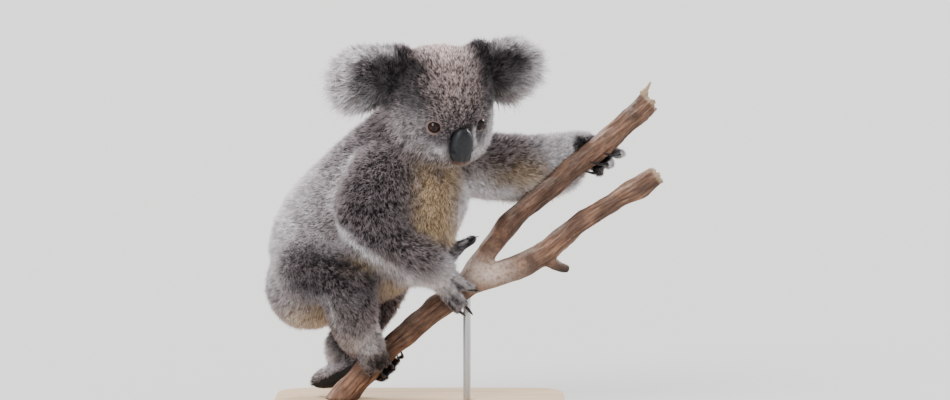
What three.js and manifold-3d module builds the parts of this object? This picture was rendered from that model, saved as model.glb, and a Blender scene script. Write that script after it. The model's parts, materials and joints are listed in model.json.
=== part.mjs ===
// A koala climbing along a forked branch, held by a plain display stand, at life size.
// Millimetres, +Z up. The origin is the centre of the stand's underside; -Y faces the viewer,
// and the koala climbs towards +X. Every body part is drawn out to the tips of its coat.
import * as THREE from 'three';
import { mergeVertices } from 'three/addons/utils/BufferGeometryUtils.js';
import Module from 'manifold-3d';

const wasm = await Module();
wasm.setup();

// ---------------------------------------------------------------- driving dimensions

const CUT = 0.3; // width of the cut that parts one node from the next
const UP = new THREE.Vector3(0, 0, 1);
const NEAR = new THREE.Vector3(0, -1, 0);
const v = ([x, y, z]) => new THREE.Vector3(x, y, z);

const STAND = {
  length: 380, width: 250, thick: 20, corner: 45, bevel: 2,
  rodRadius: 5, rodHeight: 160, rodAt: [62, 0],
};

// The branch: one stem that forks in two. Each stretch lists its centre line and its radius.
const STEM = {
  path: [[-122, 0, -4], [-84, 0, 42], [-37, 0, 92], [36, 0, 149], [79, 0, 187]],
  radius: [18.5, 17.5, 15.5, 16, 19],
};
const UPPER_FORK = {
  path: [[68, -1, 180], [95, 6, 224], [140, 20, 272], [208, 36, 325], [247, 45, 356], [299, 58, 404]],
  radius: [16.5, 14.5, 14.5, 14.8, 14.5, 14.5],
};
const LOWER_FORK = {
  path: [
    [72, 0, 176], [132, -6, 194], [166, -9, 216], [200, -12, 246],
    [244, -16, 275], [285, -20, 299], [306, -22, 313],
  ],
  radius: [17, 16.5, 14.5, 12.5, 11.5, 15, 13],
};
const TWIG = { path: [[166, -9, 204], [180, -9, 194], [193, -10, 191]], radius: [8, 5.5, 5] };

// The head's own frame: +X towards the animal's left, -Y forwards, +Z towards the crown.
const HEAD = {
  at: [24, -55, 407],
  turn: { pitch: 26, roll: -2.5, yaw: 27 },
  half: [69, 79, 77], // cheek to cheek, face to nape, chin to crown, each halved
  swells: [
    { toward: [0, -0.9, -0.42], by: 13, spread: 24 }, // muzzle
    { toward: [0, -0.4, -0.92], by: -5, spread: 30 }, // throat, under the chin
    { toward: [0.66, -0.4, -0.62], by: 15, spread: 28, paired: true }, // cheek ruff
    { toward: [0.46, -0.86, 0.06], by: -8.5, spread: 17, paired: true }, // eye hollow
    { toward: [0.66, 0.05, 0.72], by: 11, spread: 24, paired: true }, // root of the ear
  ],
};
const EAR = { at: [108, 14, 30], half: [55, 20, 59], splay: 12, cupDepth: 9, cupSpread: 42, root: 26 };
const EYE = { at: [31, -60, 3], radius: 8.5 };
const NOSE = { at: [0, -81, -14.5], half: [16.5, 11, 25.5], lean: -8 };

// The trunk, from rump to shoulders: centre line, then [half width, half depth] at each point.
const TRUNK = {
  path: [[-143, 20, 168], [-128, 15, 192], [-99, 5, 226], [-48, -8, 271], [-14, -20, 316]],
  thick: [[60, 59], [73, 83], [80, 100], [80, 104], [70, 94]],
  across: [0.25, 1, -0.2],
};
const NECK = {
  path: [[-28, -12, 326], [-4, -28, 358], [20, -46, 392]],
  thick: [[66, 76], [62, 68], [60, 58]],
  across: [0.25, 1, 0],
};

// Limbs, from the body outwards: joint centres and half thicknesses.
const LIMBS = {
  right: {
    upper_arm: { path: [[-42, -62, 316], [-60, -82, 276], [-60, -92, 244]], thick: [48, 48, 42] },
    forearm: { path: [[-52, -88, 236], [-14, -70, 218], [24, -38, 192]], thick: [38, 36, 24] },
    thigh: { path: [[-140, -30, 196], [-112, -66, 194], [-92, -86, 184]], thick: [50, 44, 38] },
    shank: { path: [[-92, -84, 180], [-86, -56, 140], [-82, -22, 102]], thick: [36, 36, 24] },
  },
  left: {
    upper_arm: { path: [[60, 16, 326], [106, 34, 323], [140, 48, 321]], thick: [43, 44, 43] },
    forearm: { path: [[132, 47, 320], [176, 58, 325], [208, 64, 341]], thick: [[40, 38], [44, 36], [30, 26]] },
    thigh: { path: [[-122, 54, 188], [-84, 76, 182], [-52, 86, 170]], thick: [50, 44, 37] },
    shank: { path: [[-50, 86, 168], [-70, 68, 126], [-104, 46, 84]], thick: [37, 34, 24] },
  },
};

// ---------------------------------------------------------------- shapes

// A place on the branch where a paw holds on. Angles run round the branch: 0 is its upper side,
// 90 the near side, 180 the underside and -90 the far side.
function holdOn(branch, t, radius) {
  const curve = new THREE.CatmullRomCurve3(branch.path.map(v), false, 'centripetal');
  const centre = curve.getPoint(t);
  const along = curve.getTangent(t);
  const near = NEAR.clone().addScaledVector(along, -NEAR.dot(along)).normalize();
  const top = new THREE.Vector3().crossVectors(near, along).normalize();
  const at = (angle, slide, lift) => {
    const a = THREE.MathUtils.degToRad(angle);
    return centre.clone().addScaledVector(along, slide)
      .addScaledVector(top, Math.cos(a) * (radius + lift))
      .addScaledVector(near, Math.sin(a) * (radius + lift));
  };
  return { at, along };
}

// A closed body along a smooth path with an oval section and domed ends.
function tube({ path, thick, across = UP, sides = 12, steps = 5, dome = [1, 1] }, grow = 0) {
  const line = new THREE.CatmullRomCurve3(path, false, 'centripetal');
  const widths = new THREE.CatmullRomCurve3(
    thick.map((r) => (Array.isArray(r) ? new THREE.Vector3(r[0], r[1], 0) : new THREE.Vector3(r, r, 0))));
  const rings = [];
  const domeSteps = Math.max(1, Math.round(sides / 6));
  const addRing = (t, scale, push) => {
    const tangent = line.getTangent(t);
    const size = widths.getPoint(t);
    const centre = line.getPoint(t).addScaledVector(tangent, push * ((size.x + size.y) / 2 + grow));
    const wide = across.clone().addScaledVector(tangent, -across.dot(tangent)).normalize();
    const deep = new THREE.Vector3().crossVectors(tangent, wide);
    rings.push({ centre, wide, deep, w: (size.x + grow) * scale, h: (size.y + grow) * scale });
  };
  for (let k = 1; k <= domeSteps; k++) {
    const a = (k / (domeSteps + 1)) * (Math.PI / 2);
    addRing(0, Math.sin(a), -Math.cos(a) * dome[0]);
  }
  for (let k = 0; k <= steps; k++) addRing(k / steps, 1, 0);
  for (let k = domeSteps; k >= 1; k--) {
    const a = (k / (domeSteps + 1)) * (Math.PI / 2);
    addRing(1, Math.sin(a), Math.cos(a) * dome[1]);
  }
  const endPoint = (t, push) => {
    const size = widths.getPoint(t);
    return line.getPoint(t).addScaledVector(line.getTangent(t), push * ((size.x + size.y) / 2 + grow));
  };
  const position = [];
  for (const r of rings) {
    for (let j = 0; j < sides; j++) {
      const a = (j / sides) * Math.PI * 2;
      const p = r.centre.clone()
        .addScaledVector(r.wide, r.w * Math.cos(a)).addScaledVector(r.deep, r.h * Math.sin(a));
      position.push(p.x, p.y, p.z);
    }
  }
  const first = rings.length * sides;
  position.push(...endPoint(0, -dome[0]).toArray(), ...endPoint(1, dome[1]).toArray());
  const index = [];
  for (let j = 0; j < sides; j++) {
    const k = (j + 1) % sides;
    index.push(first, k, j);
    for (let i = 0; i + 1 < rings.length; i++) {
      const [a, b, c, d] = [i * sides + j, i * sides + k, (i + 1) * sides + k, (i + 1) * sides + j];
      index.push(a, b, c, a, c, d);
    }
    const last = (rings.length - 1) * sides;
    index.push(first + 1, last + j, last + k);
  }
  return new THREE.BufferGeometry()
    .setAttribute('position', new THREE.Float32BufferAttribute(position, 3))
    .setIndex(index);
}

// A closed round body about its centre, swollen or hollowed towards given directions.
function ball({ half, swells = [], place = new THREE.Matrix4(), wide = 24, high = 14 }, grow = 0) {
  const geometry = new THREE.SphereGeometry(1, wide, high);
  const points = geometry.attributes.position;
  const bumps = swells.flatMap(({ toward, by, spread, paired }) => [
    { way: v(toward).normalize(), by, spread },
    ...(paired ? [{ way: v([-toward[0], toward[1], toward[2]]).normalize(), by, spread }] : []),
  ]);
  const n = new THREE.Vector3();
  for (let i = 0; i < points.count; i++) {
    n.fromBufferAttribute(points, i).normalize();
    let reach = 1 / Math.hypot(n.x / (half[0] + grow), n.y / (half[1] + grow), n.z / (half[2] + grow));
    for (const { way, by, spread } of bumps) {
      const off = THREE.MathUtils.radToDeg(n.angleTo(way)) / spread;
      reach += by * Math.exp(-off * off);
    }
    points.setXYZ(i, n.x * reach, n.y * reach, n.z * reach);
  }
  return geometry.applyMatrix4(place);
}

// ---------------------------------------------------------------- solids

function solidOf(geometry) {
  const bare = geometry.clone();
  bare.deleteAttribute('normal');
  bare.deleteAttribute('uv');
  const merged = mergeVertices(bare, 1e-4);
  return new wasm.Manifold(new wasm.Mesh({
    numProp: 3,
    vertProperties: new Float32Array(merged.attributes.position.array),
    triVerts: new Uint32Array(merged.index.array),
  }));
}

function geometryOf(solid) {
  const mesh = solid.getMesh();
  return new THREE.BufferGeometry()
    .setAttribute('position', new THREE.BufferAttribute(new Float32Array(mesh.vertProperties), 3))
    .setIndex(new THREE.BufferAttribute(new Uint32Array(mesh.triVerts), 1));
}

const biggest = (solid) => solid.decompose().reduce((a, b) => (b.volume() > a.volume() ? b : a));

// Whether two solids' boxes meet, so that only neighbours are cut by each other.
function meets(a, b) {
  const [p, q] = [a.boundingBox(), b.boundingBox()];
  return [0, 1, 2].every((k) => p.min[k] <= q.max[k] && q.min[k] <= p.max[k]);
}

// ---------------------------------------------------------------- the branch and its stand

function branchTube(stretch, grow = 0, dome = [0.9, 0.3]) {
  const { path, radius } = stretch;
  const steps = path.length;
  return solidOf(tube({ path: path.map(v), thick: radius, across: NEAR, sides: 9, steps, dome }, grow));
}

// The stem ends on a level cut, just above the board it stands on.
function stemSolid(grow) {
  const foot = STAND.thick + CUT - grow;
  const below = new THREE.BoxGeometry(400, 200, 100).translate(STEM.path[0][0], 0, foot - 50);
  return branchTube(STEM, grow, [0.3, 0.9]).subtract(solidOf(below));
}
const upperForkSolid = (grow) => branchTube(UPPER_FORK, grow);
const lowerForkSolid = (grow) => branchTube(LOWER_FORK, grow).add(branchTube(TWIG, grow));

function standBase() {
  const { thick, corner, bevel } = STAND;
  const [x, y] = [STAND.length / 2 - corner, STAND.width / 2 - corner];
  const outline = new THREE.Shape();
  [[x, -y], [x, y], [-x, y], [-x, -y]].forEach(([cx, cy], k) => {
    outline.absarc(cx, cy, corner, (k - 1) * (Math.PI / 2), k * (Math.PI / 2));
  });
  const board = new THREE.ExtrudeGeometry(outline, {
    depth: thick - 2 * bevel, bevelEnabled: true, bevelThickness: bevel, bevelSize: bevel,
    bevelOffset: -bevel, bevelSegments: 1, curveSegments: 3,
  });
  return solidOf(board.translate(0, 0, bevel));
}

// The rod runs from the board up to the fork, which it is cut back from.
function standRod() {
  const { rodRadius, rodHeight, rodAt, thick } = STAND;
  const rod = new THREE.CylinderGeometry(rodRadius, rodRadius, rodHeight, 16);
  return solidOf(rod.rotateX(Math.PI / 2).translate(...rodAt, thick + CUT + rodHeight / 2));
}

// ---------------------------------------------------------------- the head

const headPlace = new THREE.Matrix4()
  .makeRotationFromEuler(new THREE.Euler(
    ...[HEAD.turn.pitch, HEAD.turn.roll, HEAD.turn.yaw].map(THREE.MathUtils.degToRad), 'ZXY'))
  .setPosition(v(HEAD.at));

const onHead = (at, tilt = [0, 0, 0]) => headPlace.clone().multiply(new THREE.Matrix4()
  .makeRotationFromEuler(new THREE.Euler(...tilt.map(THREE.MathUtils.degToRad)))
  .setPosition(v(at)));

const headSolid = (grow) => solidOf(ball({ ...HEAD, place: headPlace, wide: 18, high: 13 }, grow));
const noseSolid = (grow) => solidOf(ball({
  half: NOSE.half,
  swells: [
    { toward: [0.75, -0.3, -0.6], by: 2.2, spread: 30, paired: true }, // wings of the nostrils
    { toward: [0, -0.2, 1], by: -2, spread: 40 }, // narrow bridge
  ],
  place: onHead(NOSE.at, [NOSE.lean, 0, 0]), wide: 10, high: 7,
}, grow));
const eyeSolid = (side) => (grow) => solidOf(ball({
  half: [EYE.radius, EYE.radius, EYE.radius],
  place: onHead([EYE.at[0] * side, EYE.at[1], EYE.at[2]]), wide: 8, high: 6,
}, grow));
const earSolid = (side) => (grow) => solidOf(ball({
  half: EAR.half,
  swells: [
    { toward: [0, -1, -0.1], by: -EAR.cupDepth, spread: EAR.cupSpread }, // the cup, open forwards
    { toward: [-side, 0, 0.6], by: EAR.root, spread: 30 }, // its root along the crown
  ],
  place: onHead([EAR.at[0] * side, EAR.at[1], EAR.at[2]], [0, 0, EAR.splay * side]), wide: 14, high: 7,
}, grow));

// ---------------------------------------------------------------- the paws

// Where the paws hold the branch, and the branch's half thickness there.
const HOLDS = {
  stem_high: holdOn(STEM, 0.8, 16.5),
  fork_root: holdOn(UPPER_FORK, 0.2, 14.5),
  fork_high: holdOn(UPPER_FORK, 0.7, 14.8),
  stem_low: holdOn(STEM, 0.43, 16.2),
  stem_foot: holdOn(STEM, 0.4, 16.5),
};

// A paw is a palm or sole and its digits. A place is [angle round the branch, slide along it, lift off it].
// A digit runs from its root to its last joint, and its claw on to the tip. The big toe has no claw, and
// the two toes next to it are joined in one that has two.
const PAWS = {
  right_hand: {
    hold: 'stem_high', fat: 6.8,
    palm: { path: [[42, 6, 30], [46, 4, 20], [62, 6, 12]], thick: [[18, 17], [21, 16], [19, 11]] },
    digits: [
      { root: [38, 12, 13], joint: [104, 23, 6], tip: [138, 28, 5] },
      { root: [44, 2, 13], joint: [130, 3, 7], tip: [158, 2, 20] },
      { root: [48, -8, 13], joint: [128, -8, 7], tip: [157, -6, 15] },
      { hold: 'fork_root', root: [44, -60, 28], joint: [4, -13, 9], tip: [4, 6, 1], bow: 2 },
      { hold: 'fork_root', root: [34, -62, 30], joint: [-22, -19, 17], tip: [-32, -4, 3], bow: 5 },
    ],
  },
  left_hand: {
    hold: 'fork_high', fat: 7.6,
    palm: { path: [[-58, -20, 18], [-80, 0, 14], [-108, 10, 12]], thick: [[19, 15], [24, 14], [22, 12]] },
    digits: [
      { root: [-112, 24, 11], joint: [-182, 28, 9], tip: [-236, 8, 3] },
      { root: [-112, 8, 11], joint: [-182, 7, 10], tip: [-246, -14, 2] },
      { root: [-108, -5, 11], joint: [-178, -11, 10], tip: [-224, -26, 2] },
      { root: [-62, -2, 15], joint: [8, 1, 9], tip: [50, 1, 2] },
      { root: [-62, -15, 15], joint: [16, -15, 8], tip: [62, -17, 2] },
    ],
  },
  right_foot: {
    hold: 'stem_low', fat: 6.8,
    palm: { path: [[50, 13, 34], [62, 5, 26], [82, -8, 13]], thick: [[19, 17], [20, 18], [19, 12]] },
    digits: [
      { root: [68, 8, 18], joint: [114, 1, 7], tip: [150, -2, 2], twin: true },
      { root: [70, -3, 18], joint: [110, -11, 7], tip: [146, -15, 2] },
      { root: [70, -14, 17], joint: [99, -22, 7], tip: [134, -28, 2] },
      { root: [30, 18, 16], joint: [-30, 20, 8] },
    ],
  },
  left_foot: {
    hold: 'stem_foot', fat: 6.8,
    palm: {
      path: [[-47, -74, 46], [-59, -53, 33], [-72, -27, 19], [-98, -6, 12]],
      thick: [[11, 10], [18, 16], [19, 16], [18, 12]],
    },
    digits: [
      { root: [-108, 2, 11], joint: [-164, 20, 7], tip: [-198, 27, 2], twin: true },
      { root: [-112, -8, 11], joint: [-170, 6, 7], tip: [-207, 11, 2] },
      { root: [-112, -18, 11], joint: [-170, -9, 7], tip: [-208, -7, 2] },
      { root: [-76, -22, 15], joint: [-20, -2, 8] },
    ],
  },
};
const TWIN_GAP = 7; // between the two claws of a joined toe
const CLAW = { root: [2.6, 3.4], middle: [2, 2.6], tip: [0.5, 0.6], start: 0.12, bow: 2.5 };

// The place a part of the way from one place to another, lifted by a bow off the straight run.
const between = (a, b, part, bow) => a.map((x, k) => x + (b[k] - x) * part + (k === 2 ? bow : 0));

function pawSolid({ hold, palm, digits, fat }) {
  const set = (name, places) => ({ path: places.map((p) => HOLDS[name].at(...p)), across: HOLDS[name].along });
  return (grow) => {
    let paw = solidOf(tube({ ...set(hold, palm.path), thick: palm.thick, sides: 8, steps: 3 }, grow));
    for (const { root, joint, bow = 0, hold: own = hold } of digits) {
      paw = paw.add(solidOf(tube({
        ...set(own, [root, between(root, joint, 0.55, bow), joint]),
        thick: [fat + 1.2, fat + 0.3, fat - 0.6], sides: 5, steps: bow ? 3 : 2,
      }, grow)));
    }
    return paw;
  };
}

function clawSolid(hold, joint, tip, slide) {
  const places = [between(joint, tip, CLAW.start, 0), between(joint, tip, 0.55, CLAW.bow), tip]
    .map(([angle, along, lift]) => HOLDS[hold].at(angle, along + slide, lift));
  return (grow) => solidOf(tube({
    path: places, thick: [CLAW.root, CLAW.middle, CLAW.tip], across: HOLDS[hold].along,
    sides: 4, steps: 2, dome: [0.8, 1],
  }, grow));
}

// Each claw of a paw, counted from the digit that is stated first.
function clawsOf({ hold, digits }) {
  return digits.filter((d) => d.tip).flatMap(({ joint, tip, twin, hold: own = hold }) => (
    (twin ? [TWIN_GAP / 2, -TWIN_GAP / 2] : [0]).map((slide) => clawSolid(own, joint, tip, slide))
  ));
}

// ---------------------------------------------------------------- limbs, neck and trunk

const fleshTube = (shape, more = {}) => (grow) => solidOf(tube({
  path: shape.path.map(v), thick: shape.thick, across: shape.across ? v(shape.across) : UP, ...more,
}, grow));

// ---------------------------------------------------------------- assembly

const finish = (color, roughness, metalness = 0) => () => (
  new THREE.MeshStandardMaterial({ color, roughness, metalness })
);
const FINISHES = {
  fur: finish(0x8d8582, 0.95),
  paleFur: finish(0xc9c0b6, 0.95),
  paw: finish(0x77716f, 0.9),
  claw: finish(0x23201f, 0.4),
  nose: finish(0x24272b, 0.5),
  eye: finish(0x3a1d12, 0.1),
  bark: finish(0x7d5f45, 0.85),
  board: finish(0xb99a74, 0.6),
  steel: finish(0xb8bab8, 0.3, 1),
};

const koala = new THREE.Group();
const groups = Object.fromEntries(
  ['perch', 'stand', 'head', 'body', 'paws'].map((name) => [name, new THREE.Group()]));
groups.head.applyMatrix4(headPlace);
koala.add(...Object.values(groups));
koala.updateMatrixWorld(true);

// Each part is cut back from all that was added before it, so the order is the order of the cuts.
const cutters = [];
function add(group, name, look, shape) {
  let solid = shape(0);
  for (const cutter of cutters) {
    if (meets(solid, cutter)) solid = solid.subtract(cutter);
  }
  solid = biggest(solid);
  const home = groups[group];
  const mesh = new THREE.Mesh(
    geometryOf(solid).applyMatrix4(home.matrixWorld.clone().invert()), FINISHES[look]());
  mesh.name = name;
  home.add(mesh);
  cutters.push(shape(CUT).add(solid));
}

const SIDES = [['right', -1], ['left', 1]];
const addLimbs = (piece) => SIDES.forEach(([side]) => {
  add('body', `${piece}_${side}`, 'fur', fleshTube(LIMBS[side][piece], { sides: 11, steps: 3 }));
});

add('perch', 'perch_stem', 'bark', stemSolid);
add('perch', 'perch_upper_fork', 'bark', upperForkSolid);
add('perch', 'perch_lower_fork', 'bark', lowerForkSolid);
add('stand', 'stand_base', 'board', standBase);
add('stand', 'stand_rod', 'steel', standRod);
add('head', 'nose', 'nose', noseSolid);
SIDES.forEach(([side, sign]) => add('head', `eye_${side}`, 'eye', eyeSolid(sign)));
for (const [paw, parts] of Object.entries(PAWS)) {
  clawsOf(parts).forEach((claw, k) => add('paws', `claw_${paw}_${k + 1}`, 'claw', claw));
}
add('head', 'head', 'fur', headSolid);
SIDES.forEach(([side, sign]) => add('head', `ear_${side}`, 'paleFur', earSolid(sign)));
add('body', 'trunk', 'fur', fleshTube(TRUNK, { sides: 20, steps: 6, dome: [1, 0.7] }));
add('body', 'neck', 'fur', fleshTube(NECK, { sides: 10, steps: 2 }));
['upper_arm', 'thigh'].forEach(addLimbs);
for (const [paw, parts] of Object.entries(PAWS)) add('paws', paw, 'paw', pawSolid(parts));
['forearm', 'shank'].forEach(addLimbs);

export default koala;
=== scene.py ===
"""A life-size koala on a forked branch: skin, coat, face and claws, the bark and the display stand."""
import json
import math

import bmesh
import bpy
import numpy as np
from mathutils import Euler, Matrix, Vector


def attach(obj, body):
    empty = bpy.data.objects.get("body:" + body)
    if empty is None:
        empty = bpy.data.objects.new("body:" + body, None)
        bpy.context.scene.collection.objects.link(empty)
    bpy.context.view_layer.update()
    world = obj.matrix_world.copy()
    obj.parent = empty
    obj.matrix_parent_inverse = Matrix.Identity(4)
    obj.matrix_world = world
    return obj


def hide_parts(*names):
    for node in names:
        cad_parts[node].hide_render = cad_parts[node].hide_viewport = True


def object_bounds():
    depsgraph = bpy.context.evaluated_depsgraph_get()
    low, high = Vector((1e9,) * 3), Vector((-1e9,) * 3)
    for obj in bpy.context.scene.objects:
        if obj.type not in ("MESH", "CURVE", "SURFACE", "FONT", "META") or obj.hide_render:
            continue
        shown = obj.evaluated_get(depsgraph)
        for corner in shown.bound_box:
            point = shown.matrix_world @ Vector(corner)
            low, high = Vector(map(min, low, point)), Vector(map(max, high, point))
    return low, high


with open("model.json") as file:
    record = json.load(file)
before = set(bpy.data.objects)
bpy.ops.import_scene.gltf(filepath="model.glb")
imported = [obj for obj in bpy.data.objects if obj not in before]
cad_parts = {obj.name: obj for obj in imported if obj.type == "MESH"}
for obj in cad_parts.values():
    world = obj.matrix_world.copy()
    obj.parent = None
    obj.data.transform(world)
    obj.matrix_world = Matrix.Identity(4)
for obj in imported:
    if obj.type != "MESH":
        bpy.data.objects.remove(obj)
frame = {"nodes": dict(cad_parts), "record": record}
SOLID_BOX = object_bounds()

MM = 0.001

# The head's own frame: +X to the animal's left, -Y forwards, +Z to the crown, in millimetres from its middle.
HEAD_AT = np.array([24.0, -55.0, 407.0])
HEAD_TURN = np.array(Euler([math.radians(a) for a in (26, -2.5, 27)], "YXZ").to_matrix())
NOSE_TIP = np.array([0.0, -90.0, -14.0])
EYE = {"at": (31.0, -60.0, 3.0), "radius": 8.5, "gaze": (0.50, -0.86, 0.12)}
EAR_ROOT = np.array([66.0, 8.0, 30.0])
EAR_MIDDLE = np.array([108.0, 14.0, 30.0])
EAR_REACH = (46, 26, 50)
EAR_RIM = {"at": (88, 34), "reach": (44, 48)}    # the round of its rim, in X and Z
EAR_JOIN = {"at": np.array([52.0, 16.0, 58.0]), "radius": 21}    # the fold of flesh between ear and crown
HEAD_REACH = (62, 78, 70)

# Each stretch of the body: the kind of coat it has, its half thickness, and its line from where its hairs
# start to where they point, in millimetres. On hands and feet they point away from the wrist or ankle.
LINES = {
    "neck": ("body", 62, [(20, -46, 392), (-4, -28, 358), (-28, -12, 326)]),
    "trunk": ("body", 88, [(-14, -20, 330), (-48, -8, 271), (-99, 5, 226), (-128, 15, 192), (-143, 20, 168)]),
    "upper_arm_right": ("upper_limb", 48, [(-42, -62, 316), (-60, -82, 276), (-60, -92, 244)]),
    "upper_arm_left": ("upper_limb", 44, [(60, 16, 326), (106, 34, 323), (140, 48, 321)]),
    "forearm_right": ("lower_limb", 34, [(-52, -88, 236), (-14, -70, 218), (24, -38, 192)]),
    "forearm_left": ("lower_limb", 38, [(132, 47, 320), (176, 58, 325), (208, 64, 341)]),
    "thigh_right": ("upper_limb", 46, [(-140, -30, 196), (-112, -66, 194), (-92, -86, 184)]),
    "thigh_left": ("upper_limb", 46, [(-122, 54, 188), (-84, 76, 182), (-52, 86, 170)]),
    "shank_right": ("lower_limb", 33, [(-92, -84, 180), (-86, -56, 140), (-82, -22, 102)]),
    "shank_left": ("lower_limb", 32, [(-50, 86, 168), (-70, 68, 126), (-104, 46, 84)]),
    "right_hand": ("paw", 20, [(24, -38, 192), (48, -20, 170), (52, -4, 142)]),
    "right_thumbs": ("paw", 13, [(36, -22, 204), (54, -8, 220), (78, 0, 234)]),
    "left_hand": ("paw", 24, [(208, 64, 341), (222, 64, 346), (232, 46, 336)]),
    "right_foot": ("paw", 22, [(-82, -22, 102), (-76, -26, 88), (-62, -22, 66)]),
    "left_foot": ("paw", 20, [(-116, 42, 48), (-92, 34, 66), (-60, 20, 62)]),
}
# The middle lines of the branch: its stem and the two forks.
BRANCH = {
    "stem": [(-122, 0, -4), (-84, 0, 42), (-37, 0, 92), (36, 0, 149), (79, 0, 187)],
    "upper": [(68, -1, 180), (95, 6, 224), (140, 20, 272), (208, 36, 325), (247, 45, 356), (299, 58, 404)],
    "lower": [(72, 0, 176), (132, -6, 194), (166, -9, 216), (200, -12, 246), (244, -16, 275), (285, -20, 299),
              (306, -22, 313)],
}
# The kind of coat of each stretch, and the other names that are used all over.
KINDS = {name: kind for name, (kind, _, _) in LINES.items()}
KINDS |= {"head": "head", "ear_right": "ear", "ear_left": "ear"}
EARS = (("ear_right", -1), ("ear_left", 1))
PAWS = ("right_hand", "left_hand", "right_foot", "left_foot")
FLESH = [part["node"] for part in frame["record"]["subparts"] if part["material_slot"] in ("coat", "paw")]


# ---------------------------------------------------------------- numbers on meshes

def unit(vectors):
    return vectors / np.maximum(np.linalg.norm(vectors, axis=-1, keepdims=True), 1e-9)


def smooth_step(x, low, high):
    """0 up to low and 1 from high on, with a soft rise between; low may lie above high."""
    t = np.clip((x - low) / (high - low), 0, 1)
    return t * t * (3 - 2 * t)


def ripple(points, size, seed):
    """Smooth noise of about -1 to 1 at each point, whose features have that size."""
    random = np.random.default_rng(seed)
    total = np.zeros(len(points))
    waves = 9
    for _ in range(waves):
        way = unit(random.normal(size=3)) * random.uniform(0.6, 1.5)
        total += np.sin(points @ way * (2 * math.pi / size) + random.uniform(0, 2 * math.pi))
    return total / math.sqrt(waves / 2)


def places(mesh):
    """The mesh's vertices in millimetres."""
    co = np.empty(len(mesh.vertices) * 3, np.float32)
    mesh.vertices.foreach_get("co", co)
    return co.reshape(-1, 3).astype(float) / MM


def set_places(mesh, points):
    mesh.vertices.foreach_set("co", (points * MM).astype(np.float32).ravel())
    mesh.update()


def normals(mesh):
    out = np.empty(len(mesh.vertices) * 3, np.float32)
    mesh.vertex_normals.foreach_get("vector", out)
    return out.reshape(-1, 3).astype(float)


def relax(mesh, share, rounds):
    """Draws each vertex towards the middle of its neighbours, by its own share of the way."""
    ends = np.empty(len(mesh.edges) * 2, np.int32)
    mesh.edges.foreach_get("vertices", ends)
    a, b = ends.reshape(-1, 2).T
    count = len(mesh.vertices)
    degree = np.maximum(np.bincount(a, minlength=count) + np.bincount(b, minlength=count), 1)
    points = places(mesh)
    share = np.broadcast_to(share, count)[:, None]
    for _ in range(rounds):
        middle = np.stack([
            np.bincount(a, points[b, k], count) + np.bincount(b, points[a, k], count) for k in range(3)
        ], axis=1) / degree[:, None]
        points += (middle - points) * share
    set_places(mesh, points)


def note(mesh, name, values, kind="FLOAT", domain="POINT"):
    """Keeps a value for each vertex or face under that name."""
    field = {"FLOAT": "value", "INT": "value", "FLOAT_VECTOR": "vector"}[kind]
    number = np.int32 if kind == "INT" else np.float32
    kept = mesh.attributes.get(name) or mesh.attributes.new(name, kind, domain)
    kept.data.foreach_set(field, np.ascontiguousarray(values, number).ravel())


# ---------------------------------------------------------------- objects

def piece(name, mesh):
    """A new object that shows the mesh."""
    mesh.name = name
    made = bpy.data.objects.new(name, mesh)
    bpy.context.scene.collection.objects.link(made)
    return made


def finished(made):
    """The object with its modifiers worked into its mesh."""
    bpy.context.view_layer.update()
    result = bpy.data.meshes.new_from_object(made.evaluated_get(bpy.context.evaluated_depsgraph_get()))
    made.modifiers.clear()
    made.data = result
    return made


def modified(made, kind, **settings):
    modifier = made.modifiers.new(kind, kind)
    for key, value in settings.items():
        setattr(modifier, key, value)
    return finished(made)


def solids(names, swell=0.0, reshape=None):
    """One mesh of the named CAD solids, each merged, swollen by some millimetres and reshaped first."""
    joined = bmesh.new()
    for name in names:
        part = bmesh.new()
        part.from_mesh(frame["nodes"][name].data)
        bmesh.ops.remove_doubles(part, verts=part.verts, dist=0.01 * MM)
        part.normal_update()
        for vertex in part.verts:
            vertex.co += vertex.normal * swell * MM
            if reshape:
                vertex.co = reshape(name, vertex.co)
        held = bpy.data.meshes.new(name)
        part.to_mesh(held)
        part.free()
        joined.from_mesh(held)
        bpy.data.meshes.remove(held)
    mesh = bpy.data.meshes.new("solids")
    joined.to_mesh(mesh)
    joined.free()
    return mesh


def take_in_new_shape(made):
    """Joins the shape that was added last onto an object."""
    both = [made, bpy.context.object]
    with bpy.context.temp_override(active_object=made, selected_editable_objects=both):
        bpy.ops.object.join()


def smooth_shaded(mesh):
    mesh.polygons.foreach_set("use_smooth", np.ones(len(mesh.polygons), bool))
    mesh.update()


def on_body(made, material=None, stands_for=()):
    """Hands a finished piece to the frame."""
    if material:
        made.data.materials.clear()
        made.data.materials.append(material)
    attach(made, "root")
    if stands_for:
        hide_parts(*stands_for)
    return made


# ---------------------------------------------------------------- node trees

def socket(sockets, name=None):
    return next(s for s in sockets if s.enabled and name in (None, s.name))


def feed(tree, target, value):
    """Gives a socket its value, or a link where the value is a node or another socket."""
    if isinstance(value, bpy.types.Node):
        value = socket(value.outputs)
    if isinstance(value, bpy.types.NodeSocket):
        tree.links.new(value, target)
    elif target.type == "RGBA":
        target.default_value = (*value, 1)
    else:
        target.default_value = value


def add(tree, kind, inputs=(), **settings):
    """A new node with its settings, and a value or a link for each input that is given by name or number."""
    made = tree.nodes.new(kind)
    for key, value in settings.items():
        setattr(made, key, value)
    for key, value in dict(inputs).items():
        feed(tree, made.inputs[key] if isinstance(key, int) else socket(made.inputs, key), value)
    return made


def math_node(tree, operation, a, b=0.0, c=0.0, **settings):
    return add(tree, "ShaderNodeMath", {0: a, 1: b, 2: c}, operation=operation, **settings)


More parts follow.
